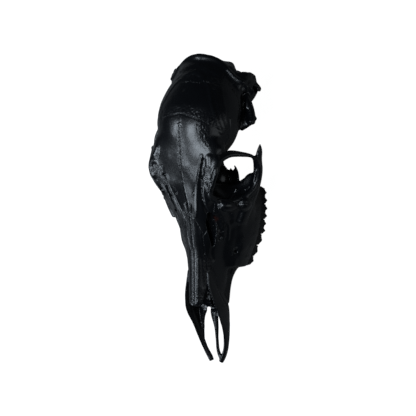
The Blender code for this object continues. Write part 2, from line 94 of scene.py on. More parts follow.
def along_path(rows, count, closed=False):
    """Rows that start with a place, at even steps of the length of the smooth path through them."""
    if closed:
        rows = list(rows[-2:]) + list(rows) + list(rows[:3])
    table = np.array(rows, float)
    steps = np.linalg.norm(np.diff(table[:, :3], axis=0), axis=1)
    length = np.concatenate([[0], np.cumsum(steps)])
    fine = smooth_rows(np.column_stack([length, table]), 12 * len(table))
    if closed:
        keep = (fine[:, 0] >= length[2] - 1e-6) & (fine[:, 0] <= length[-3] + 1e-6)
        fine = fine[keep]
    even = np.linspace(fine[0, 0], fine[-1, 0], count + 1 if closed else count)
    made = np.column_stack([np.interp(even, fine[:, 0], column) for column in fine.T])[:, 1:]
    return made[:-1] if closed else made


def oval(across, up, power, count):
    """Points round a superellipse with those half axes. up may be a pair, above and below the middle."""
    above, below = up if isinstance(up, tuple) else (up, up)
    points = []
    for step in range(count):
        angle = 2 * math.pi * step / count
        c, s = math.cos(angle), math.sin(angle)
        points.append((
            across * math.copysign(abs(c) ** (2 / power), c),
            (above if s > 0 else below) * math.copysign(abs(s) ** (2 / power), s),
        ))
    return points


def place(across, along, up):
    """The point of the frame at a place in millimetres."""
    return Vector((across, along - MIDDLE, up)) * MM


def skin(name, rings, closed=False):
    """A closed mesh object through rings of places, each ring extruded from the one before."""
    mesh = bmesh.new()
    ring = bmesh.ops.create_circle(mesh, segments=len(rings[0]), radius=1.0)["verts"]
    for vertex, spot in zip(ring, rings[0]):
        vertex.co = spot
    edges = list(mesh.edges)
    for spots in rings[1:]:
        grown_part = bmesh.ops.extrude_edge_only(mesh, edges=edges)["geom"]
        fresh = {v for v in grown_part if isinstance(v, bmesh.types.BMVert)}
        ring = [next(e.other_vert(v) for e in v.link_edges if e.other_vert(v) in fresh) for v in ring]
        for vertex, spot in zip(ring, spots):
            vertex.co = spot
        edges = [e for e in grown_part if isinstance(e, bmesh.types.BMEdge) and set(e.verts) <= fresh]
    if closed:
        bmesh.ops.bridge_loops(mesh, edges=[e for e in mesh.edges if e.is_boundary])
    else:
        bmesh.ops.holes_fill(mesh, edges=mesh.edges, sides=0)
    bmesh.ops.recalc_face_normals(mesh, faces=mesh.faces)
    if mesh.calc_volume(signed=True) < 0:
        bmesh.ops.reverse_faces(mesh, faces=mesh.faces)
    return as_object(name, mesh)


def as_object(name, mesh):
    data = bpy.data.meshes.new(name)
    mesh.to_mesh(data)
    mesh.free()
    return bpy.data.objects.new(name, data)


def link(thing):
    bpy.context.scene.collection.objects.link(thing)
    return thing


def body(name, stations, power=2.0, count=48, steps=60):
    """A loft along the skull.

    A row is (along, middle height, half width, up, down, how much it narrows upwards).
    """
    rings = []
    for along, height, half, above, below, narrowing in smooth_rows(stations, steps):
        ring = []
        for x, z in oval(half, (above, below), power, count):
            share = z / (above if z > 0 else below)
            ring.append(place(x * (1 - narrowing * share), along, height + z))
        rings.append(ring)
    return skin(name, rings)


def rod(name, path, lean=(0, 0, 1), power=2.0, count=16, steps=24, closed=False):
    """A bent bar through rows of (across, along, up, half height along lean, half thickness)."""
    rows = along_path(path, steps, closed)
    spots = [Vector(row[:3]) for row in rows]
    rings = []
    for i, row in enumerate(rows):
        if closed:
            ahead, behind = spots[(i + 1) % len(spots)], spots[i - 1]
        else:
            ahead, behind = spots[min(i + 1, len(spots) - 1)], spots[max(i - 1, 0)]
        run = (ahead - behind).normalized()
        side = run.cross(Vector(lean)).normalized()
        tall = side.cross(run)
        outline = oval(row[4], row[3], power, count)
        rings.append([place(*(spots[i] + side * x + tall * z)) for x, z in outline])
    return skin(name, rings, closed)


def lump(name, spot, radii, turn=(0, 0, 0), rounds=4):
    """An egg with those three radii, turned by degrees about the three axes."""
    mesh = bmesh.new()
    bmesh.ops.create_icosphere(mesh, subdivisions=rounds, radius=1.0)
    egg = as_object(name, mesh)
    tilt = Matrix.Identity(4)
    for axis, degrees in zip("XYZ", turn):
        tilt = Matrix.Rotation(math.radians(degrees), 4, axis) @ tilt
    egg.data.transform(tilt @ Matrix.Diagonal((*[r * MM for r in radii], 1)))
    egg.data.transform(Matrix.Translation(place(*spot)))
    return egg


def mirrored(thing):
    """The same form on the animal's right."""
    data = thing.data.copy()
    data.transform(MIRROR)
    data.flip_normals()
    return bpy.data.objects.new(thing.name + "_right", data)


def both(thing):
    return [thing, mirrored(thing)]


# Forms of the bone

BRAINCASE = [
    (118, 55, 12, 10, 14, 0),
    (135, 59, 14, 12, 14, 0),
    (148, 62, 14.5, 15.5, 16, 0),
    (160, 63.5, 17.5, 20.5, 18, 0),
    (169, 63, 23, 24.5, 22, 0),
    (178, 62, 30, 28, 25, 0),
    (190, 60.5, 34, 31, 26, 0),
    (206, 57.5, 34.4, 31.5, 25, 0),
    (219, 54, 31, 28.5, 22, 0),
    (229, 51.5, 26, 24.5, 19, 0),
    (238, 50, 23.5, 20.5, 16, 0),
    (244, 49, 20, 16, 13, 0),
]
BROW = [
    (116, 60, 10, 4.5, 5, 0),
    (124, 64, 15, 4.5, 6, 0),
    (132, 69, 20.6, 4, 7, 0),
    (140, 74.5, 27, 3.5, 7, 0),
    (150, 79, 31, 3, 6, 0),
    (158, 80.5, 32.5, 3, 5, 0),
    (165, 80.5, 32, 3, 6, 0),
    (173, 79, 28, 4, 7, 0),
    (183, 76, 28, 4, 9, 0),
    (191, 74, 25, 4, 9, 0),
]
SEPTUM = [
    (120, 52, 16, 14, 16, 0),
    (135, 54, 14, 16, 18, 0),
    (150, 56, 13.5, 18, 18, 0),
    (165, 56, 14.5, 18, 17, 0),
    (180, 54, 17, 18, 16, 0),
]
FACE = [
    (44, 33, 10.5, 18.5, 14, 0.25),
    (60, 35, 12.3, 18.5, 17, 0.3),
    (76, 36, 14.5, 19.5, 18, 0.36),
    (90, 38, 17.5, 19.5, 21, 0.4),
    (105, 42, 22, 20.5, 24, 0.38),
    (114, 44, 26, 21.2, 24, 0.46),
    (123, 46.5, 30.8, 22, 23.5, 0.4),
    (131, 48.5, 34, 23, 22, 0.25),
    (140, 50, 35, 22, 18, 0.2),
    (146, 50, 32, 20, 14, 0.2),
]
BASE = [
    (154, 44, 6.5, 6, 5, 0),
    (165, 41, 7, 8, 6, 0),
    (176, 38, 8, 10, 7, 0),
    (195, 34, 10, 10, 7, 0),
    (215, 31, 12.5, 12, 7, 0),
    (230, 32, 17, 12, 8, 0),
    (235.5, 33, 15, 8, 8, 0),
]
ORBIT_RIM = [
    (30.8, 156, 80.8, 1.8, 2.3),
    (27.2, 146, 78.6, 1.7, 2.3),
    (22.6, 137, 72.2, 1.9, 2.4),
    (26, 132.3, 61, 2.4, 2.6),
    (35, 134.5, 50, 2.8, 3),
    (42, 142, 42.5, 3.5, 3.4),
    (44.8, 152, 40.5, 4.2, 3.4),
    (46.3, 161, 43.5, 4.6, 2.2),
    (46.2, 169, 51, 3, 1.3),
    (41, 170.8, 61, 2.6, 2.3),
    (33.8, 170.2, 69.5, 3.8, 2.8),
    (30.4, 163.8, 77.8, 2.8, 2.8),
]
JUGAL = [
    (30, 116, 36, 5, 4),
    (36, 130, 38.5, 6, 4.5),
    (42, 144, 38.5, 5.5, 3.5),
    (45.6, 157, 40, 5, 2.4),
    (47.6, 168, 44.5, 4.2, 1.9),
]
JUGAL_TIP = [
    (48.9, 174, 46.4, 3.4, 1.9),
    (50.3, 180.5, 48.6, 0.6, 0.5),
]
ARCH_MIDDLE = [
    (46.8, 178, 48, 3.2, 1.8),
]
ARCH_ROOT = [
    (42.4, 190, 47.5, 3, 2.2),
    (38.8, 201, 45, 3, 3.4),
    (33.5, 212, 43.5, 3, 4),
    (28, 220, 42, 3, 4),
]
GLENOID = [
    (28, 193, 47, 3.4, 5.6),
    (34, 198.4, 44.5, 3, 6.4),
    (37.2, 203.6, 43, 2.6, 7.4),
]
ROW = [
    (77, 16.5),
    (90, 21.6),
    (98, 24.8),
    (108, 27.2),
    (119, 28),
    (130, 27.8),
    (141, 26),
]
CHEEK_TEETH = [
    # front edge, length, lobes
    (79.3, 7.2, 1),
    (86.6, 9.2, 1),
    (96.3, 9.0, 1),
    (105.8, 11.6, 2),
    (117.9, 12.2, 2),
    (130.6, 12.6, 2),
]
BONY_EDGE = 5.2


def row_middle(along):
    """How far across the middle of the tooth row is."""
    table = np.array(ROW)
    return float(np.interp(along, table[:, 0], table[:, 1]))


def mass_forms():
    """The thick forms, which are blended into one before the thin ones are joined on."""
    forms = [
        body("braincase", BRAINCASE),
        body("brow", BROW, power=2.6),
        body("septum", SEPTUM, steps=30),
        body("face", FACE, power=2.5),
        body("base", BASE, power=2.4),
    ]
    bed = [(row_middle(s) + 0.6, s, 18, 18 - BONY_EDGE, 5.8) for s in (79, 90, 102, 114, 126, 138)]
    bed.append((24.5, 147, 22, 8, 5))
    forms += both(rod("tooth_bed", bed, steps=40, power=2.8, count=20))
    forms += both(rod("cheek_wall", [
        (17, 78, 24, 9, 3.6),
        (20.2, 90, 27, 12, 4.2),
        (23.2, 104, 29, 14, 5.2),
        (26, 118, 31, 15, 7),
        (28, 132, 33, 14, 7),
        (29, 142, 34, 10, 6),
    ], lean=(-0.35, 0, 1), steps=20, count=14))
    forms.append(rod("nuchal_crest", [
        (-31, 219, 50, 4, 3),
        (-27.6, 229, 53.5, 3.6, 2.8),
        (-22, 237.4, 57.2, 3.2, 2.6),
        (-11.5, 244.8, 61.5, 3, 2.6),
        (0, 246.4, 64.5, 3.2, 2.8),
        (11.5, 244.8, 61.5, 3, 2.6),
        (22, 237.4, 57.2, 3.2, 2.6),
        (27.6, 229, 53.5, 3.6, 2.8),
        (31, 219, 50, 4, 3),
    ], steps=60))
    forms += both(lump("mastoid", (29.4, 228.4, 43), (8.2, 8.6, 12)))
    forms.append(lump("forehead", (0, 172, 76.8), (31, 24, 10.6)))
    forms += both(lump("brow_corner", (26.5, 174, 74), (6.5, 6, 6)))
    forms += both(lump("orbit_floor", (35, 142, 40.5), (12, 9.5, 5), (0, 0, 40)))
    forms += both(lump("orbit_sill", (39, 149.5, 41), (6, 8, 3.5), (0, 0, -20)))
    forms += both(rod("gap_edge", [
        (12, 40, 20, 3.6, 2.6),
        (11.6, 50, 19.5, 4, 2.8),
        (11.6, 62, 18.6, 4, 3),
        (13, 71, 18, 4.4, 3.2),
        (16, 79, 17, 5.4, 3.6),
    ]))
    return forms


TORN_EDGE = [
    (8, 158), (13, 159), (15.5, 161.5), (17, 160.5), (18.5, 157), (20.5, 157.6), (21, 159.2), (22, 156.6),
    (25, 158.8), (27.8, 162), (28.8, 157), (29, 150), (29.6, 144), (34, 141), (60, 141), (60, 190), (8, 190),
]
NOSE_MOUTH = [(30, 47.2), (30, 10), (46, 10), (47, 22), (58, 46.8)]
NASAL_NOTCH = [(2.6, 38), (4.6, 50), (6.2, 38)]
NASAL_CORNER = [(8.4, 38), (9.4, 46), (11, 52), (16, 52), (16, 38)]


def broken_bulla():
    """The left tear bulla, a thin bowl torn away at the top and rear to a jagged edge with a splinter."""
    bowl = link(lump("tear_bulla", (22, 149, 48), (10.5, 15, 10), (8, 0, 0)))
    boolean(bowl, [
        lump("inside", (22, 149.6, 49.6), (9.3, 13.9, 10), (8, 0, 0)),
        slab("torn", TORN_EDGE, "above", -REACH, REACH),
        slab("opened", [(120, 50), (170, 47), (170, 90), (120, 90)], "side", -5, 60),
    ], "DIFFERENCE")
    return bowl


def joined_forms():
    """The forms that flow into the masses, which are joined on and blended before the sheets of bone."""
    forms = both(rod("orbit_rim", ORBIT_RIM, lean=(0.9, -0.25, 0.37), steps=90, closed=True))
    forms.append(lump("rim_bank", (29, 129.5, 56), (5.5, 5.5, 9), (0, -24, 0)))
    forms.append(lump("rim_foot", (37, 131.5, 45.5), (6.5, 6, 6.5), (0, -20, 20)))
    forms.append(mirrored(rod("arch", JUGAL + ARCH_MIDDLE + ARCH_ROOT, steps=60, power=2.4)))
    forms.append(rod("broken_jugal", JUGAL + JUGAL_TIP, steps=40, power=2.4))
    forms.append(rod("broken_root", [(40, 195, 46.4, 3.4, 2.8)] + ARCH_ROOT[1:], steps=24, power=2.4))
    forms += both(rod("glenoid_shelf", GLENOID, power=2.6))
    forms += paroccipital_forms()
    return forms


def sheet_forms():
    """The thin plates and blades of bone, and what shows inside the nose."""
    forms = [mirrored(lump("tear_bulla", (23.5, 147, 46), (8.5, 12, 8), (8, 0, 0)))]
    forms.append(broken_bulla())
    forms.append(rod("palate_shelf_left", [
        (6.4, 49, 20.6, 1.5, 6.2),
        (6.8, 42, 19.8, 1.3, 5.6),
        (7.2, 35.5, 18.4, 1.1, 4.4),
    ], steps=16))
    forms.append(rod("palate_shelf_right", [
        (-7.6, 50, 20.8, 1.5, 7),
        (-9.3, 42, 19.6, 1.3, 4.6),
        (-11, 35, 18.2, 1.1, 3.2),
        (-11.6, 25, 16.2, 1, 2.4),
        (-11.4, 13, 13.4, 1, 1.6),
    ], steps=20))
    forms += both(rod("premaxilla_blade", [
        (9, 74, 46, 3, 1.4),
        (10.6, 62, 41, 7, 1.6),
        (13, 52, 34, 9.5, 1.6),
        (14.8, 43, 29, 9, 1.6),
        (14.2, 31, 22.5, 6.2, 1.6),
        (12.4, 18, 16.4, 3.8, 1.7),
        (9.4, 7, 12, 2.8, 1.9),
        (5.4, -1, 9.6, 2.4, 2.2),
        (4.4, -3, 9.4, 2, 2),
    ], steps=60))
    forms.append(rod("palatine_process", [
        (5.6, -1.5, 9.6, 2.1, 1.9),
        (3, 4, 11, 1.8, 1.5),
        (1.8, 16, 13.6, 1.6, 1.2),
        (1.4, 26, 15.2, 1.7, 1.8),
        (0.2, 36, 17.2, 1.8, 3.6),
        (0, 46, 19, 2, 5),
    ], steps=30))
    forms += both(rod("pterygoid_plate", [
        (10.5, 130, 28, 9, 1.4),
        (9.6, 143, 29, 9, 1.1),
        (8.2, 154, 34, 7, 1.1),
        (7.4, 165, 37, 4.5, 1.3),
    ]))
    forms.append(rod("vomer", [
        (0, 44, 22, 3, 0.9),
        (0, 66, 24, 5, 0.9),
        (0, 90, 28, 7, 0.9),
        (0, 112, 36, 12, 1.2),
    ], steps=20))
    forms += both(rod("turbinate", [
        (8.6, 60, 36, 1.4, 1),
        (9, 76, 38, 3.4, 1.3),
        (10.4, 96, 44, 6, 1.6),
        (11.5, 116, 50, 6, 2),
    ], steps=24))
    forms += both(rod("turbinate_scroll", [
        (12, 92, 46, 1.2, 0.8),
        (13.4, 102, 49, 2.2, 1),
        (13.6, 112, 53, 2.6, 1.2),
    ], lean=(0.6, 0, 0.8), steps=16))
    return forms


def paroccipital_forms():
    """The processes, ear tubes and knobs under the back of the skull."""
    forms = both(rod("paroccipital", [
        (26.5, 227.5, 38, 6.5, 5),
        (26, 227.5, 26, 5.2, 3.4),
        (23, 225.8, 13, 4, 2.3),
        (19.4, 223.6, -0.5, 2.4, 1.8),
    ], lean=(0, 1, 0)))
    forms += both(rod("meatus", [
        (22, 212, 33, 6, 6),
        (30, 219, 36.6, 6, 6),
        (36.8, 225.4, 40, 4.6, 4.6),
    ], steps=10, count=22))
    forms += both(lump("condyle", (12.5, 229.5, 30), (8.5, 8, 9.5), (25, 0, -20)))
    forms += both(lump("bulla", (15.5, 208, 26), (5.5, 10, 8), (0, 18, -12)))
    return forms


NASAL_CAVITY = [
    (18, 34, 8, 20, 14, 0),
    (34, 34, 8.5, 18, 13, 0.1),
    (48, 34, 9, 15.5, 12, 0.2),
    (62, 36, 10.5, 15.5, 13, 0.3),
    (80, 38, 13, 16, 14, 0.36),
    (98, 41, 16.5, 17, 16, 0.36),
    (112, 44, 19, 16, 16, 0.3),
    (120, 46, 15, 10, 10, 0.2),
]


def hollows():
    """The wide spaces, cut before the thin forms are joined on."""
    forms = [
        body("nasal_cavity", NASAL_CAVITY, power=2.2),
        rod("palate_vault", [
            (0, 72, 3, 11, 11),
            (0, 90, 4, 13, 14),
            (0, 110, 5, 15.5, 19),
            (0, 130, 5, 16, 19.5),
            (0, 160, 3, 14, 18),
        ], count=30, power=2.4),
        rod("choana", [
            (0, 126, 30, 6, 6.5),
            (0, 145, 25, 11, 8),
            (0, 165, 22, 13, 8),
        ], count=24, power=2.4),
    ]
    forms += both(lump("orbit_socket", (40, 150.5, 62), (26, 19.5, 19)))
    forms.append(slab("nose_mouth", NOSE_MOUTH, "side", -40, 40))
    return forms


def holes():
    """The openings, cut after the thin forms are joined on."""
    forms = [
        rod("foramen_magnum", [
            (0, 218, 36, 7, 7),
            (0, 232, 34, 8.5, 8.5),
            (0, 256, 32, 10, 11),
        ], steps=10, count=32),
    ]
    forms += both(slab("nasal_notch", NASAL_NOTCH, "above", 46.9, REACH))
    forms += both(slab("nasal_corner", NASAL_CORNER, "above", 46.9, REACH))
    forms += both(rod("meatus_hole", [
        (31, 219.6, 37.2, 2.6, 2.6),
        (46, 227.6, 42, 3.2, 3.2),
    ], steps=4))
    forms += both(rod("face_window", [
        (13.2, 95, 49.2, 0.9, 6),
        (13.9, 101, 51.8, 2.3, 6),
        (15, 109, 55.4, 3.6, 6),
        (15.6, 117, 59.4, 3.5, 6),
        (15.5, 123, 61.8, 1.3, 6),
    ], lean=(-0.5, -0.4, 0.8), steps=24, count=18))
    return forms


# Solids that bound the bones, drawn as outlines from above and from the side

def meander(rows, width, pitch, closed=True):
    """An outline whose sides wander to and fro, as a suture does."""
    spots = np.array(rows, float)
    made = []
    runs = zip(spots, np.roll(spots, -1, axis=0)) if closed else zip(spots[:-1], spots[1:])
    for start, end in runs:
        run = end - start
        length = np.linalg.norm(run)
        across = np.array([-run[1], run[0]]) / length
        count = max(1, int(length / pitch * 5))
        for step in range(count):
            t = step / count
            at = start + run * t
            sway = math.sin(2 * math.pi * (at @ (0.61, 0.79)) / pitch)
            sway += 0.6 * math.sin(2 * math.pi * (at @ (-0.83, 0.55)) / (pitch * 0.53) + 1.3)
            made.append(at + across * sway * width * min(1, 4 * t, 4 * (1 - t)))
    if not closed:
        made.append(spots[-1])
    return np.array(made)


def grown(outline, by):
    """An outline moved outwards all round."""
    spots = np.array(outline, float)
    ahead, behind = np.roll(spots, -1, axis=0), np.roll(spots, 1, axis=0)
    area = np.sum(spots[:, 0] * ahead[:, 1] - ahead[:, 0] * spots[:, 1])
    turn = 1 if area > 0 else -1
    into, out = spots - behind, ahead - spots
    into /= np.linalg.norm(into, axis=1)[:, None]
    out /= np.linalg.norm(out, axis=1)[:, None]
    normal = np.column_stack([into[:, 1] + out[:, 1], -into[:, 0] - out[:, 0]]) * turn
    normal /= np.linalg.norm(normal, axis=1)[:, None]
    lean = np.abs(normal[:, 0] * out[:, 1] - normal[:, 1] * out[:, 0])
    return spots + normal * (by / np.maximum(lean, 0.5))[:, None]


def slab(name, outline, view, near, far):
    """An outline drawn from above as (across, along) or from the side as (along, up), given depth."""
    if view == "above":
        rings = [[place(x, s, z) for x, s in outline] for z in (near, far)]
    else:
        rings = [[place(x, s, z) for s, z in outline] for x in (near, far)]
    return skin(name, rings)


def region(above, side, inner, outer, by=0.0):
    """The solid inside both outlines, from inner to outer across, grown on every face."""
    first = link(slab("region", grown(side, by), "side", inner - by, outer + by))
    if above is not None:
        boolean(first, [slab("above", grown(above, by), "above", -REACH, REACH)], "INTERSECT")
    return first


NASAL_ABOVE = [
    (0, 38), (11.5, 38), (11, 50), (9.2, 66), (8.2, 84), (8.4, 98), (9, 106),
    (5.5, 114), (1.5, 121), (0, 121),
]
NASAL_SIDE = [(38, 44), (50, 46.5), (65, 49.5), (85, 52.5), (105, 55), (124, 59), (124, 90), (38, 90)]
FRONTAL_ABOVE = [
    (0, 100), (10, 104), (16, 116), (21.5, 130), (23, 140), (60, 140), (60, 184),
    (32, 190), (18, 196), (8, 199), (0, 201),
]
FRONTAL_SIDE = [
    (100, 54), (120, 54), (134, 60), (150, 56), (172, 57), (184, 68), (204, 76), (204, 110), (100, 110),
]
PARIETAL_SIDE = [(170, 60), (214, 57), (226, 62), (225, 110), (170, 110)]
TEMPORAL_ABOVE = [(8.5, 194), (8.5, 221), (22, 226), (60, 226), (60, 170), (19, 170), (19, 190)]
TEMPORAL_SIDE = [
    (170, 33), (196, 31), (198, 12), (219.5, 12), (219.5, 33), (226, 33),
    (226, 64), (214, 57.3), (170, 60.3),
]
LACRIMAL_ABOVE = [
    (12, 108), (24, 106), (31, 116), (40, 131), (33.5, 141), (33.5, 164), (13, 164), (13, 140), (18, 128),
]
LACRIMAL_SIDE = [(104, 47), (126, 49), (136, 37), (164, 37), (164, 57), (140, 60), (140, 84), (104, 84)]
CHEEK_ABOVE = [
    (28, 110), (70, 110), (70, 181), (41, 181), (41, 163), (34, 158), (34, 140), (38, 131), (32, 118),
]
CHEEK_SIDE = [(110, 38), (124, 34), (150, 31), (181, 34), (181, 58.5), (164, 57), (140, 55), (110, 52)]
PREMAXILLA_ABOVE = [(0, -20), (0, 27), (6, 27), (6, 90), (70, 90), (70, -20)]
PREMAXILLA_SIDE = [(-10, -5), (37, -5), (41, 22), (56, 34), (74, 43), (78, 48), (78, 70), (-10, 70)]
MAXILLA_ABOVE = [(0, 26), (70, 26), (70, 154), (14, 154), (14, 130), (12, 122), (0, 120)]
MAXILLA_SIDE = [(26, -5), (154, -5), (154, 36), (136, 37), (134, 70), (26, 70)]
OCCIPITAL_SIDE = [(197, -5), (270, -5), (270, 110), (218, 110), (218, 43), (197, 43)]


def boolean(base, others, operation):
    """Joins or cuts base with a list of objects, which are then removed."""
    group = bpy.data.collections.new("operands")
    for other in others:
        for held in list(other.users_collection):
            held.objects.unlink(other)
        group.objects.link(other)
    modifier = base.modifiers.new(operation.lower(), "BOOLEAN")
    modifier.operation = operation
    modifier.solver = "MANIFOLD"
    modifier.operand_type = "COLLECTION"
    modifier.collection = group
    apply_modifiers(base)
    for other in others:
        bpy.data.objects.remove(other)
    bpy.data.collections.remove(group)


def apply_modifiers(thing):
    bpy.context.view_layer.update()
    graph = bpy.context.evaluated_depsgraph_get()
    data = bpy.data.meshes.new_from_object(thing.evaluated_get(graph))
    thing.modifiers.clear()
    thing.data = data


def remesh(thing, voxel, rounds):
    grid = thing.modifiers.new("remesh", "REMESH")
    grid.mode = "VOXEL"
    grid.voxel_size = voxel * MM
    ease = thing.modifiers.new("smooth", "SMOOTH")
    ease.factor = 0.5
    ease.iterations = rounds
    apply_modifiers(thing)


def ease_forehead(thing):
    """Smooths the skin between the brows until the braincase flows into the forehead."""
    mesh = bmesh.new()
    mesh.from_mesh(thing.data)
    between = [
        v for v in mesh.verts
        if abs(v.co.x) < 23 * MM and 132 < v.co.y / MM + MIDDLE < 206 and v.co.z > 70 * MM
    ]
    for _ in range(FOREHEAD_ROUNDS):
        bmesh.ops.smooth_vert(
            mesh, verts=between, factor=0.5, use_axis_x=True, use_axis_y=True, use_axis_z=True,
        )
    mesh.to_mesh(thing.data)
    mesh.free()


def keep_largest(thing):
    """Leaves only the shell with the most surface."""
    mesh = bmesh.new()
    mesh.from_mesh(thing.data)
    shells, seen = [], set()
    for face in mesh.faces:
        if face in seen:
            continue
        shell, edge = [], [face]
        seen.add(face)
        while edge:
            here = edge.pop()
            shell.append(here)
            for side in here.edges:
                for other in side.link_faces:
                    if other not in seen:
                        seen.add(other)
                        edge.append(other)
        shells.append(shell)
    shells.sort(key=lambda shell: -sum(f.calc_area() for f in shell))
    loose = [v for shell in shells[1:] for f in shell for v in f.verts]
    bmesh.ops.delete(mesh, geom=list(set(loose)), context="VERTS")
    mesh.to_mesh(thing.data)
    mesh.free()


# Carving

VIEWS = {
    "above": ((0, 1, None), Vector((0, 0, -1))),
    "below": ((0, 1, None), Vector((0, 0, 1))),
    "left": ((None, 0, 1), Vector((-1, 0, 0))),
    "right": ((None, 0, 1), Vector((1, 0, 0))),
    "behind": ((0, None, 1), Vector((0, -1, 0))),
}


class Surface:
    """The skin of the bone as points and outward directions, carved before the bones are parted."""

    def __init__(self, thing):
        self.mesh = thing.data
        count = len(self.mesh.vertices)
        self.points = np.empty(count * 3, np.float32)
        self.mesh.vertices.foreach_get("co", self.points)
        self.points = self.points.reshape(-1, 3) / MM
        self.outward = np.empty(count * 3, np.float32)
        self.mesh.vertex_normals.foreach_get("vector", self.outward)
        self.outward = self.outward.reshape(-1, 3)
        self.moved = np.zeros(count)
        self.tree = BVHTree.FromObject(thing, bpy.context.evaluated_depsgraph_get())

    def dropped(self, view, spots):
        """The points of the skin under a line of points that is drawn from one view."""
        if view == "near":
            found = [self.tree.find_nearest(place(*spot))[0] for spot in spots]
        else:
            axes, way = VIEWS[view]
            found = []
            for spot in spots:
                from_here = [0 if axis is None else spot[axis] for axis in axes]
                start = place(*from_here)
                start -= way * (start.dot(way) + 0.4)
                found.append(self.tree.ray_cast(start, way)[0])
        return np.array([hit for hit in found if hit is not None]) / MM

    def nearness(self, path, radius):
        """1 on the path, falling to 0 at the radius, for every point of the skin."""
        share = np.zeros(len(self.points))
        if not len(path):
            return share
        near = np.all(self.points > path.min(axis=0) - radius, axis=1)
        near &= np.all(self.points < path.max(axis=0) + radius, axis=1)
        chosen = np.nonzero(near)[0]
        here = self.points[chosen]
        least = np.full(len(chosen), np.inf)
        for start, end in zip(path, path[1:] if len(path) > 1 else path):
            run = end - start
            along = np.clip((here - start) @ run / max(run @ run, 1e-9), 0, 1)
            least = np.minimum(least, np.linalg.norm(here - start - along[:, None] * run, axis=1))
        share[chosen] = np.clip(1 - least / radius, 0, 1)
        return share

    def line(self, view, spots, height, radius, wander=0.0, pitch=4.0, sharp=False, hands=(1,)):
        """A ridge, or a groove where the height is negative, along a line drawn from one view."""
        for hand in hands:
            seen_from, turned = view, spots
            if hand < 0 and view == "left":
                seen_from = "right"
            elif hand < 0:
                turned = [(-spot[0], *spot[1:]) for spot in spots]
            smooth = along_line(turned, max(0.8, radius * 0.4))
            if wander and view != "near":
                smooth = meander(smooth[:: max(1, int(pitch / 2))], wander, pitch, closed=False)
            share = self.nearness(self.dropped(seen_from, smooth), radius)
            if not sharp:
                share = share * share * (3 - 2 * share)
            self.moved += height * share

    def pair(self, view, spots, height, radius, **shape):
        """The same ridge or groove on both sides of the skull."""
        self.line(view, spots, height, radius, hands=PAIR, **shape)

    def settle(self):
        self.points += self.outward * self.moved[:, None]
        self.mesh.vertices.foreach_set("co", (self.points * MM).astype(np.float32).ravel())
        self.mesh.update()


def along_line(spots, step):
    """Points at even steps on the smooth line through a few points."""
    table = np.array(spots, float)
    if len(table) < 2:
        return table
    length = np.concatenate([[0], np.cumsum(np.linalg.norm(np.diff(table, axis=0), axis=1))])
    return smooth_rows(np.column_stack([length, table]), max(2, int(length[-1] / step)))[:, 1:]


def carve_forehead(skin_of):
    line, pair = skin_of.line, skin_of.pair
    line("above", [(20, 164), (19.2, 158), (17.4, 149), (15.6, 141)], -0.8, 3.0, wander=0.35, pitch=6)
    line("above", [(-18.6, 156), (-17.4, 149), (-15.8, 141)], -0.5, 3.0, wander=0.35, pitch=6)
    pair("above", [(15.6, 141), (14.4, 133)], -0.9, 2.2, wander=0.3, pitch=5)
    pair("above", [(14.4, 133), (14.6, 124), (15.4, 117)], -1.0, 2.2)
    pair("above", [(17.2, 150), (17.2, 151)], -1.6, 1.6)
    line("above", [(-25, 171), (-27, 163)], 1.1, 5.0, wander=0.4)
    line("above", [(-26, 157), (-27, 150)], 0.9, 4.6, wander=0.4)
    line("above", [(18.6, 168), (16.6, 157), (13.8, 146), (9.4, 132), (5.9, 119)], 0.45, 1.8, sharp=True)
    line("above", [(-15, 150), (-9.4, 132), (-5.9, 119)], 0.35, 2.2)
    line("above", [(24.8, 167), (24.4, 161)], 0.8, 3.8)
    line("above", [(20, 149), (22.4, 144), (24.4, 139)], 0.8, 3.0)
    line("above", [(24.2, 148), (25.6, 143)], 0.7, 1.9)
    line("above", [(-0.4, 146), (0, 138), (0, 126)], -0.7, 10)
    line("above", [(-8.5, 136.6)], -1.5, 1.2)
    line("above", [(8.2, 138)], -1.2, 1.0)
    pair("above", [(2.2, 128), (1.4, 122)], 0.5, 1.4)
    line("above", [(0, 118), (0, 140), (0, 160)], -0.2, 0.9, wander=0.3)
    line("above", [(0, 158), (0, 178), (0, 200)], -0.2, 1.1, wander=0.9, pitch=3.2)
    pair("above", [(0, 200), (8, 198), (18, 195), (30, 188)], -0.12, 1.2, wander=0.8, pitch=3.4)


def carve_braincase(skin_of):
    line, pair = skin_of.line, skin_of.pair
    pair("above", [(6, 231), (15, 224), (21.5, 211), (26.5, 199), (30, 186)], 0.36, 2.8, wander=0.2)
    pair("above", [(10, 235), (20, 222), (27, 206), (31.5, 190)], 0.14, 2.0, wander=0.2)
    pair("above", [(24, 222), (29.5, 208), (32.6, 194)], 0.1, 2.0, wander=0.2)
    pair("above", [(0, 231), (10, 228.5), (22, 224)], -0.2, 1.5, wander=0.7, pitch=5)
    pair("above", [(1, 237), (9, 234), (19, 230)], -0.4, 4.0)
    line("above", [(-3.5, 218.7)], -0.6, 1.8)
    line("above", [(20, 221.5)], -0.6, 1.8)
    pair("near", [(24, 237, 60), (30, 230, 55), (33, 226, 48), (35, 208, 46)], 0.9, 2.2, sharp=True)
    pair("left", [(180, 60), (196, 58), (212, 56), (222, 60)], -0.25, 1.1, wander=0.8, pitch=4)
    pair("left", [(176, 68), (186, 66), (198, 68)], 0.35, 1.6)


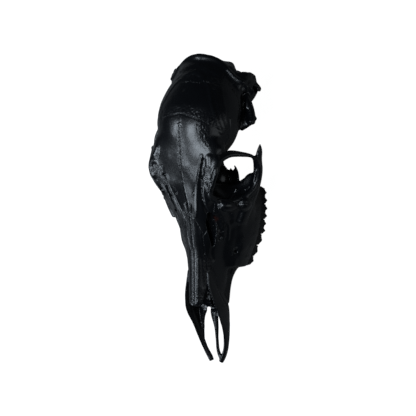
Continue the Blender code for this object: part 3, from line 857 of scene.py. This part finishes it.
def carve_face(skin_of):
    line, pair = skin_of.line, skin_of.pair
    line("above", [(0, 118), (0, 80), (0, 46)], -0.35, 1.1, wander=0.12)
    pair("above", [(0, 41.5), (5, 42), (9, 44)], -1.3, 4.0)
    pair("above", [(3.6, 116), (3.2, 98), (3.6, 80), (3.4, 48)], 0.2, 2.6)
    pair("above", [(6.4, 110), (6.8, 96), (6.3, 84), (7, 62)], -0.2, 2.2)
    pair("above", [(8.6, 104), (8.2, 84), (9.2, 66), (10.4, 50)], -0.3, 1.1, wander=0.2)
    pit_front = [(23.6, 126, 61), (23.4, 123, 57.5), (23.8, 111, 44), (21, 102, 39.5)]
    pair("near", pit_front, 0.5, 1.4, sharp=True)
    pair("near", [(19.6, 118, 59), (19.4, 110, 51), (17.4, 102, 46)], -1.4, 3.4)
    pair("near", [(27, 124, 52), (27, 116, 47)], -0.9, 4.5)
    pair("near", [(24, 96, 25), (28, 108, 31), (33, 120, 36), (37, 130, 38)], 0.6, 6.0)
    pair("left", [(91.2, 31)], -3.2, 1.9)
    pair("left", [(88.6, 33), (91.4, 33.6), (94, 31.6)], 0.6, 1.2)
    pair("left", [(88, 29), (80, 25), (72, 23)], -0.35, 3.6)
    pair("left", [(78, 48), (74, 43), (56, 34), (42, 23)], -0.25, 1.0, wander=0.5, pitch=4)
    pair("left", [(84, 46), (90, 49), (96, 50)], -0.3, 2.6)
    pair("near", [(18.4, 104, 50), (19.6, 107, 50)], 0.8, 1.1, sharp=True)
    pair("near", [(18.8, 99, 47), (20.4, 101, 46)], 0.9, 1.2, sharp=True)
    pair("near", [(20.8, 110, 50), (21.6, 113, 52)], 0.7, 0.9, sharp=True)
    for front, length, lobes in CHEEK_TEETH:
        for lobe in range(lobes + 1):
            at = front + length * lobe / lobes
            pair("left", [(at, 9), (at, 13), (at + 0.4, 18)], 0.22, 2.4)


def carve_orbit(skin_of):
    line, pair = skin_of.line, skin_of.pair
    pair("near", [(24, 134, 66)], -2.2, 1.4)
    pair("near", [(24.5, 133, 60)], -2.0, 1.3)
    pair("near", [(22, 139, 75)], -1.4, 1.3)
    pair("near", [(29, 132, 60), (35, 132, 53), (41, 133, 43), (43, 143, 39)], -0.5, 1.0)
    pair("near", [(26, 128, 61), (33, 128, 50), (38, 130, 42)], 0.4, 1.1, sharp=True)
    pair("near", [(30, 133, 54), (33, 136, 50), (38, 137, 46)], 0.5, 0.9, sharp=True)
    pair("near", [(34, 129, 51), (38, 128.6, 45), (42, 131, 41)], 0.35, 0.9, sharp=True)
    line("near", [(27, 150, 80.4), (31, 160, 82), (31.5, 168, 80)], 0.5, 2.0)
    pair("near", [(24, 136, 66), (26.5, 134, 60), (31, 133, 55)], -0.9, 1.6)
    pair("near", [(33, 138, 52), (37, 139, 47), (41, 144, 44)], -1.0, 1.5, sharp=True)
    pair("near", [(36, 134, 49), (38, 138, 48), (37.5, 142, 45)], -0.8, 1.2, sharp=True)
    pair("near", [(28, 131.5, 58), (30, 136, 56), (30, 140, 52)], 0.8, 1.3, sharp=True)
    pair("near", [(41, 136, 43), (44, 146, 41)], -0.8, 1.8)
    pair("near", [(44, 150, 44), (46, 158, 46)], 0.7, 1.6, sharp=True)


def carve_underside(skin_of):
    line, pair = skin_of.line, skin_of.pair
    line("below", [(0, 48), (0, 80), (0, 128)], -0.6, 1.1, wander=0.3)
    pair("below", [(9, 104), (10, 112)], -1.8, 1.8)
    pair("below", [(0, 116), (8, 114), (15, 119)], -0.6, 1.1, wander=0.5)
    pair("below", [(0, 198), (12, 199)], -0.6, 1.2, wander=0.4)
    pair("below", [(4, 203), (5, 206)], 1.2, 3.2)
    pair("below", [(9.5, 220), (10, 222)], -2.2, 1.8)
    pair("below", [(24, 205), (24, 212)], -1.6, 2.2)


def carve_back(skin_of):
    line, pair = skin_of.line, skin_of.pair
    line("behind", [(0, 46), (0, 54), (0, 62)], 0.9, 1.6, sharp=True)
    pair("behind", [(3, 57), (9, 55), (16, 51)], -0.8, 3.4)
    pair("behind", [(7, 48)], -1.2, 1.2)
    pair("behind", [(23, 55), (29, 52), (34, 46), (35, 38)], 1.3, 3.2, wander=0.3)
    pair("behind", [(24, 50), (28.5, 45), (29.5, 37), (27, 31)], -1.6, 4.2, wander=0.3)
    pair("left", [(222, 52), (229, 47), (233, 40)], -0.9, 2.6, wander=0.4)
    pair("left", [(224, 38), (230, 36), (234, 34)], 0.8, 2.4)
    pair("behind", [(20, 50), (22, 40), (24, 32)], -0.8, 1.6, wander=0.6)


GRAINY = [
    # view, line, reach
    ("above", [(0, 160), (0, 196)], 3.5),
    ("above", [(-24, 196), (-10, 203), (10, 203), (24, 196)], 6),
    ("above", [(-18, 232), (0, 236), (18, 232)], 11),
    ("above", [(23, 178), (18, 190)], 6),
    ("above", [(-9, 52), (9, 52)], 6),
    ("above", [(24, 150), (25, 140)], 5),
    ("left", [(190, 46), (204, 46)], 7),
    ("left", [(118, 54), (104, 46)], 9),
]


WAVE, GRAIN = 0.22, 0.26


def roughen(skin_of):
    """Uneven growth all over, and the coarse grain of the porous places."""
    coarse = np.zeros(len(skin_of.points))
    for view, spots, reach in GRAINY:
        path = skin_of.dropped(view, along_line(spots, 2.0))
        coarse = np.maximum(coarse, skin_of.nearness(path, reach))
    wave = np.empty(len(skin_of.points))
    grain = np.empty(len(skin_of.points))
    for i, point in enumerate(skin_of.points):
        spot = Vector(point)
        wave[i] = noise.noise(spot / 15) + 0.3 * noise.noise(spot / 5)
        grain[i] = noise.noise(spot / 1.1) if coarse[i] > 0 else 0
    skin_of.moved += WAVE * wave + GRAIN * np.minimum(1, coarse * 1.6) * np.minimum(grain, 0.22)


# The bones

def copy_of(thing, name):
    return link(bpy.data.objects.new(name, thing.data.copy()))


def take(whole, above, side, inner, hand=0):
    """The part of the whole inside a region, which the whole loses with a thin seam round it."""
    if inner:
        shape = region(above, side, inner, REACH)
        wide = region(above, side, inner, REACH, SEAM)
        if hand < 0:
            for thing in (shape, wide):
                thing.data.transform(MIRROR)
                thing.data.flip_normals()
    else:
        if above is not None:
            above = list(above) + [(-x, s) for x, s in reversed(above) if x > 0]
        shape = region(above, side, -REACH, REACH)
        wide = region(above, side, -REACH, REACH, SEAM)
    piece = copy_of(whole, "piece")
    boolean(piece, [shape], "INTERSECT")
    boolean(whole, [wide], "DIFFERENCE")
    return piece


def halved(piece, names, wander, pitch):
    """A piece that lies across the middle, parted into a left and a right bone."""
    line_points = [(0, s) for s in range(-12, 272, 4)]
    middle = meander(line_points, wander, pitch, closed=False)
    left_bone, right_bone = piece, copy_of(piece, "right_half")
    left_half = [*map(tuple, middle), (REACH, 271), (REACH, -12)]
    right_half = [*map(tuple, middle), (-REACH, 271), (-REACH, -12)]
    boolean(left_bone, [slab("half", grown(left_half, -SEAM / 2), "above", -REACH, REACH)], "INTERSECT")
    boolean(right_bone, [slab("half", grown(right_half, -SEAM / 2), "above", -REACH, REACH)], "INTERSECT")
    return dict(zip(names, (left_bone, right_bone)))


def sided(name):
    return name + "_left", name + "_right"


def jagged(outline, width=0.5, pitch=3.6):
    return [tuple(spot) for spot in meander(outline, width, pitch)]


def part_bones(whole):
    """The seventeen bones, each cut out of the whole in turn."""
    bones = {}

    def across(name, above, side, wander=0.3, pitch=4.0, rough=0.5):
        piece = take(whole, above, jagged(side, rough), 0)
        bones.update(halved(piece, sided(name), wander, pitch))

    def beside(name, above, side, inner):
        for bone_name, hand in zip(sided(name), PAIR):
            bones[bone_name] = take(whole, jagged(above), jagged(side), inner, hand)

    across("nasal", NASAL_ABOVE, NASAL_SIDE, 0.15)
    across("frontal", FRONTAL_ABOVE, FRONTAL_SIDE, 0.7, 3.4)
    bones["parietal"] = take(whole, None, jagged(PARIETAL_SIDE), 0)
    across("premaxilla", PREMAXILLA_ABOVE, PREMAXILLA_SIDE, 0.0, rough=0.1)
    beside("lacrimal", LACRIMAL_ABOVE, LACRIMAL_SIDE, 12)
    beside("zygomatic", CHEEK_ABOVE, CHEEK_SIDE, 28)
    across("maxilla", MAXILLA_ABOVE, MAXILLA_SIDE, 0.3)
    beside("temporal", TEMPORAL_ABOVE, TEMPORAL_SIDE, 8.5)
    bones["occipital"] = take(whole, None, jagged(OCCIPITAL_SIDE), 0)
    bones["palatine_and_sphenoid"] = whole
    for bone in bones.values():
        keep_largest(bone)
    return bones


def build_bones():
    forms = mass_forms()
    whole = link(forms[0])
    boolean(whole, forms[1:], "UNION")
    remesh(whole, *MASS_BLEND)
    ease_forehead(whole)
    boolean(whole, hollows(), "DIFFERENCE")
    boolean(whole, joined_forms(), "UNION")
    remesh(whole, *JOINED_BLEND)
    boolean(whole, sheet_forms(), "UNION")
    boolean(whole, holes(), "DIFFERENCE")
    remesh(whole, *BONE_BLEND)
    skin_of = Surface(whole)
    carve_forehead(skin_of)
    carve_braincase(skin_of)
    carve_face(skin_of)
    carve_orbit(skin_of)
    carve_underside(skin_of)
    carve_back(skin_of)
    roughen(skin_of)
    skin_of.settle()
    under = [(-REACH, -50), (REACH, -50), (REACH, 300), (-REACH, 300)]
    boolean(whole, [slab("under", under, "above", -20, FLOOR_LEVEL)], "DIFFERENCE")
    keep_largest(whole)
    return part_bones(whole)


# Teeth

def swell(at, middle, spread):
    """1 at the middle, falling away like a bell."""
    return math.exp(-((at - middle) / spread) ** 2)


def crown(hand, front, length, lobes):
    """One cheek tooth: folded enamel outside, rounded lobes inside, and a hollow in the worn face."""
    wide = 5.2 if lobes == 2 else 4.5
    pitch = length / lobes
    count = 12 * lobes

    def outer(along):
        folds = sum(swell(along, pitch * edge, 0.75) for edge in range(lobes + 1))
        ribs = sum(swell(along, pitch * (lobe + 0.42), 0.9) for lobe in range(lobes))
        return wide * (0.82 + 0.12 * folds + 0.08 * ribs)

    def inner(along):
        within = (along % pitch) / pitch * 2 - 1
        return wide * (0.42 + 0.58 * math.sqrt(max(0.0, 1 - within * within)))

    def cusp(along, outside):
        within = (along % pitch) / pitch
        tip = 0.38 if outside else 0.45
        slope = within / tip if within < tip else (1 - within) / (1 - tip)
        return (3.0 if outside else 2.4) * (0.5 + 0.5 * math.cos(math.pi * min(1, slope * 1.06))) ** 0.8

    def ring(height, spread, lean, cusped, inset=0.0):
        """The outline at a height. cusped is the share of the cusps' height that it takes."""
        spots = []
        for outside in (True, False):
            for step in range(count):
                t = (step + 0.5) / count
                along = length * (0.012 + 0.976 * (t if outside else 1 - t))
                reach = (outer(along) if outside else -inner(along)) * spread
                reach = math.copysign(max(0.25, abs(reach) - inset), reach)
                middle = row_middle(front + along) + lean
                shrunk = length / 2 + (along - length / 2) * (1 - inset / length)
                up = height + cusp(along, outside) * cusped + (0.0 if outside else 0.5)
                spots.append(place(hand * (middle + reach), front + shrunk, up))
        return spots

    return skin("crown", [
        ring(17, 0.9, 0.2, 0),
        ring(11, 0.96, 0.4, 0),
        ring(7, 1.0, 0.9, 0.1),
        ring(3.6, 0.95, 1.7, 0.4),
        ring(1.0, 0.86, 2.3, 0.95),
        ring(0.25, 0.76, 2.5, 1.0),
        ring(0.7, 0.72, 2.5, 0.92, 0.9),
        ring(2.6, 0.66, 2.4, 0.5, 1.7),
        ring(3.4, 0.6, 2.2, 0.3, 2.6),
    ])


def build_teeth(name, hand):
    """A row of cheek teeth, each a body of its own set close against the next."""
    row = bmesh.new()
    for front, length, lobes in CHEEK_TEETH:
        tooth = crown(hand, front, length, lobes)
        row.from_mesh(tooth.data)
        bpy.data.objects.remove(tooth)
    bmesh.ops.subdivide_edges(row, edges=row.edges, cuts=1, use_grid_fill=True, smooth=0.6)
    return link(as_object(name, row))


# Materials

class Value:
    """A shader socket that takes part in sums."""

    def __init__(self, bench, socket):
        self.bench, self.socket = bench, socket

    def sum_of(self, operation, first, second):
        return self.bench.node("ShaderNodeMath", {"operation": operation}, {0: first, 1: second}).out(0)

    def __add__(self, other):
        return self.sum_of("ADD", self, other)

    def __mul__(self, other):
        return self.sum_of("MULTIPLY", self, other)

    __radd__ = __add__
    __rmul__ = __mul__


class Made:
    """A node that has been placed, with its outputs as values."""

    def __init__(self, bench, node):
        self.bench, self.node = bench, node

    def out(self, key):
        return Value(self.bench, self.node.outputs[key])


# The places of a Mix node's two colours among its inputs, and of the mixed colour among its outputs.
FIRST, SECOND, MIXED = 6, 7, 2


class Bench:
    """Builds the nodes of one material."""

    def __init__(self, name):
        self.material = bpy.data.materials.new(name)
        self.material.use_nodes = True
        self.tree = self.material.node_tree
        self.shader = self.tree.nodes["Principled BSDF"]

    def node(self, kind, settings=None, sockets=None):
        node = self.tree.nodes.new(kind)
        for key, setting in (settings or {}).items():
            if key == "stops":
                for stop, (at, shade) in zip(node.color_ramp.elements, setting):
                    stop.position, stop.color = at, (shade, shade, shade, 1)
            else:
                setattr(node, key, setting)
        for key, given in (sockets or {}).items():
            self.feed(node.inputs[key], given)
        return Made(self, node)

    def feed(self, socket, given):
        if isinstance(given, Value):
            self.tree.links.new(given.socket, socket)
        else:
            socket.default_value = given

    def mix(self, share, first, second):
        """A colour between two, by the share of the second."""
        return self.node("ShaderNodeMix", {"data_type": "RGBA"}, {
            "Factor": share, FIRST: first, SECOND: second,
        }).out(MIXED)

    def ramp(self, value, low, high):
        """0 below the low value and 1 above the high one."""
        stops = ((low, 0.0), (high, 1.0))
        return self.node("ShaderNodeValToRGB", {"stops": stops}, {"Fac": value}).out("Color")


BLACK = (0.0009, 0.0012, 0.0017, 1)
BONE_DUST = (0.0028, 0.0035, 0.0048, 1)
TOOTH_DUST = (0.004, 0.0045, 0.0055, 1)
RUST = (0.03, 0.006, 0.003, 1)

# The middle of the red-brown stain in the front of the left tear pit.
STAIN = (17.5, 117, 57)


def black_paint(name, grain, dust):
    """Gloss black lacquer, pooled smooth in places and broken by the bone's grain in others."""
    bench = Bench(name)
    where = bench.node("ShaderNodeTexCoord").out("Object")

    def clouds(size, detail=3.0):
        return bench.node("ShaderNodeTexNoise", None, {
            "Vector": where, "Scale": 1 / (size * MM), "Detail": detail, "Roughness": 0.55,
        }).out("Fac")

    patches = clouds(16)
    fine = clouds(1.3)
    grit = clouds(0.5, 2.0)
    pores = bench.node("ShaderNodeTexVoronoi", None, {
        "Vector": where, "Scale": 1 / (1.3 * MM), "Randomness": 1.0,
    }).out("Distance")
    porous = bench.ramp(patches, 0.5, 0.66)
    pits = bench.ramp(pores, 0.05, 0.3)
    away = bench.node("ShaderNodeVectorMath", {"operation": "DISTANCE"}, {
        0: where, 1: tuple(place(*STAIN)),
    }).out("Value")
    stained = bench.node("ShaderNodeMapRange", {"interpolation_type": "SMOOTHSTEP"}, {
        "Value": away + fine * (3 * MM), "From Min": 1.5 * MM, "From Max": 6 * MM,
        "To Min": 0.7, "To Max": 0.0,
    }).out("Result")
    dusty = bench.mix(patches * 0.6 + fine * 0.4, BLACK, dust)
    bench.feed(bench.shader.inputs["Base Color"], bench.mix(stained, dusty, RUST))
    bench.feed(bench.shader.inputs["Roughness"], 0.16 + patches * 0.11 + grit * 0.1)
    height = fine * 0.5 + grit * 0.35 + pits * porous * 0.6
    relief = bench.node("ShaderNodeBump", None, {"Strength": grain, "Distance": 0.22 * MM, "Height": height})
    bench.feed(bench.shader.inputs["Normal"], relief.out("Normal"))
    bench.shader.inputs["IOR"].default_value = 1.45
    bench.shader.inputs["Specular IOR Level"].default_value = 0.4
    return bench.material


# The scene

def ready(piece, nodes, material):
    piece.data.transform(CENTRED)
    piece.data.materials.clear()
    piece.data.materials.append(material)
    piece.data.polygons.foreach_set("material_index", [0] * len(piece.data.polygons))
    piece.data.shade_smooth()
    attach(piece, "root")
    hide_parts(*nodes)


# What the floor gives off, to reflections and to the camera.
FLOOR_GLOW = (0.03, 0.03, 0.03, 1)
FLOOR_SEEN = (0.99, 0.99, 0.99, 1)


def build_floor():
    """White paper that stays dark in reflections, as the black bone in the photo shows no bright floor."""
    mesh = bmesh.new()
    bmesh.ops.create_grid(mesh, x_segments=2, y_segments=2, size=3.0)
    floor = link(as_object("studio_floor", mesh))
    bench = Bench("white_paper")
    bench.shader.inputs["Base Color"].default_value = (0.1, 0.1, 0.1, 1)
    bench.shader.inputs["Roughness"].default_value = 0.9
    bench.shader.inputs["Emission Strength"].default_value = 1.0
    seen = bench.node("ShaderNodeLightPath").out("Is Camera Ray")
    bench.feed(bench.shader.inputs["Emission Color"], bench.mix(seen, FLOOR_GLOW, FLOOR_SEEN))
    floor.data.materials.append(bench.material)


DAYLIGHT = (0.8, 0.9, 1.0)
PALE_DAYLIGHT = (0.88, 0.95, 1.0)
LIGHTS = [
    # name, where it hangs, where it points, width and height, watts, colour
    ("overhead", (0.04, -0.1, 1.07), (0.01, 0.06, 0.08), (0.38, 0.42), 7.4, DAYLIGHT),
    ("over_nose", (-0.4, -0.41, 0.88), (0, -0.05, 0.05), (0.2, 0.18), 2.1, DAYLIGHT),
    ("over_brow", (-0.63, -0.03, 0.88), (-0.03, 0.035, 0.08), (0.24, 0.3), 4.6, DAYLIGHT),
    ("front_right", (-0.78, -0.66, 0.34), (-0.01, 0, 0.07), (0.3, 0.4), 2.6, DAYLIGHT),
    ("left_side", (1.3, -0.1, 0.4), (0, 0, 0.05), (0.5, 1.0), 1.8, PALE_DAYLIGHT),
]


def soft_light(name, spot, aim, size, power, tint):
    lamp = bpy.data.lights.new(name, "AREA")
    lamp.shape = "RECTANGLE"
    lamp.size, lamp.size_y = size
    lamp.energy = power
    lamp.color = tint
    holder = link(bpy.data.objects.new(name, lamp))
    holder.location = spot
    holder.rotation_euler = (Vector(aim) - Vector(spot)).to_track_quat("-Z", "Y").to_euler()


def build_lights():
    for light in LIGHTS:
        soft_light(*light)
    world = bpy.data.worlds.new("studio")
    world.use_nodes = True
    world.node_tree.nodes["Background"].inputs["Color"].default_value = (1, 1, 1, 1)
    world.node_tree.nodes["Background"].inputs["Strength"].default_value = 0.025
    bpy.context.scene.world = world
    bpy.context.scene.view_settings.view_transform = "Standard"


# The sensor's width in millimetres and the picture's side in pixels.
SENSOR = 36
FRAME = 416

# The place that the camera looks at, and how far off it stands.
AIM = (0, 130, 50)
DISTANCE = 1500.0

# Pixels to a millimetre at that place, where it falls in the picture, and the skull's turns in degrees.
SCALE = 1.239
CENTRE = (201.28, 201.7)
PITCH, ROLL, YAW = 2.75, -30.8, -3.5


def build_camera():
    """The camera looks down on the skull, which lies nose down in the picture and rolled to its right."""
    lens = bpy.data.cameras.new("camera")
    lens.sensor_width = SENSOR
    lens.lens = SENSOR * SCALE * DISTANCE / FRAME
    lens.shift_x = (FRAME / 2 - CENTRE[0]) / FRAME
    lens.shift_y = -(FRAME / 2 - CENTRE[1]) / FRAME
    lens.clip_start, lens.clip_end = 0.01, 20
    turn = (
        Matrix.Rotation(math.radians(YAW), 3, "Z")
        @ Matrix.Rotation(math.radians(PITCH), 3, "X")
        @ Matrix.Rotation(math.radians(ROLL), 3, "Y")
    )
    back = Vector(turn[2])
    camera = link(bpy.data.objects.new("camera", lens))
    stand = Matrix.Translation(place(*AIM) + back * DISTANCE * MM)
    camera.matrix_world = stand @ turn.transposed().to_4x4()
    bpy.context.scene.camera = camera


def main():
    bone_paint = black_paint("black_paint_on_bone", 0.3, BONE_DUST)
    tooth_paint = black_paint("black_paint_on_teeth", 0.15, TOOTH_DUST)
    for node, bone in build_bones().items():
        bone.name = node + "_bone"
        ready(bone, [node], bone_paint)
    for name, hand in zip(sided("maxilla"), PAIR):
        ready(build_teeth("teeth_" + name, hand), [name], tooth_paint)
    build_floor()
    build_lights()
    build_camera()


main()
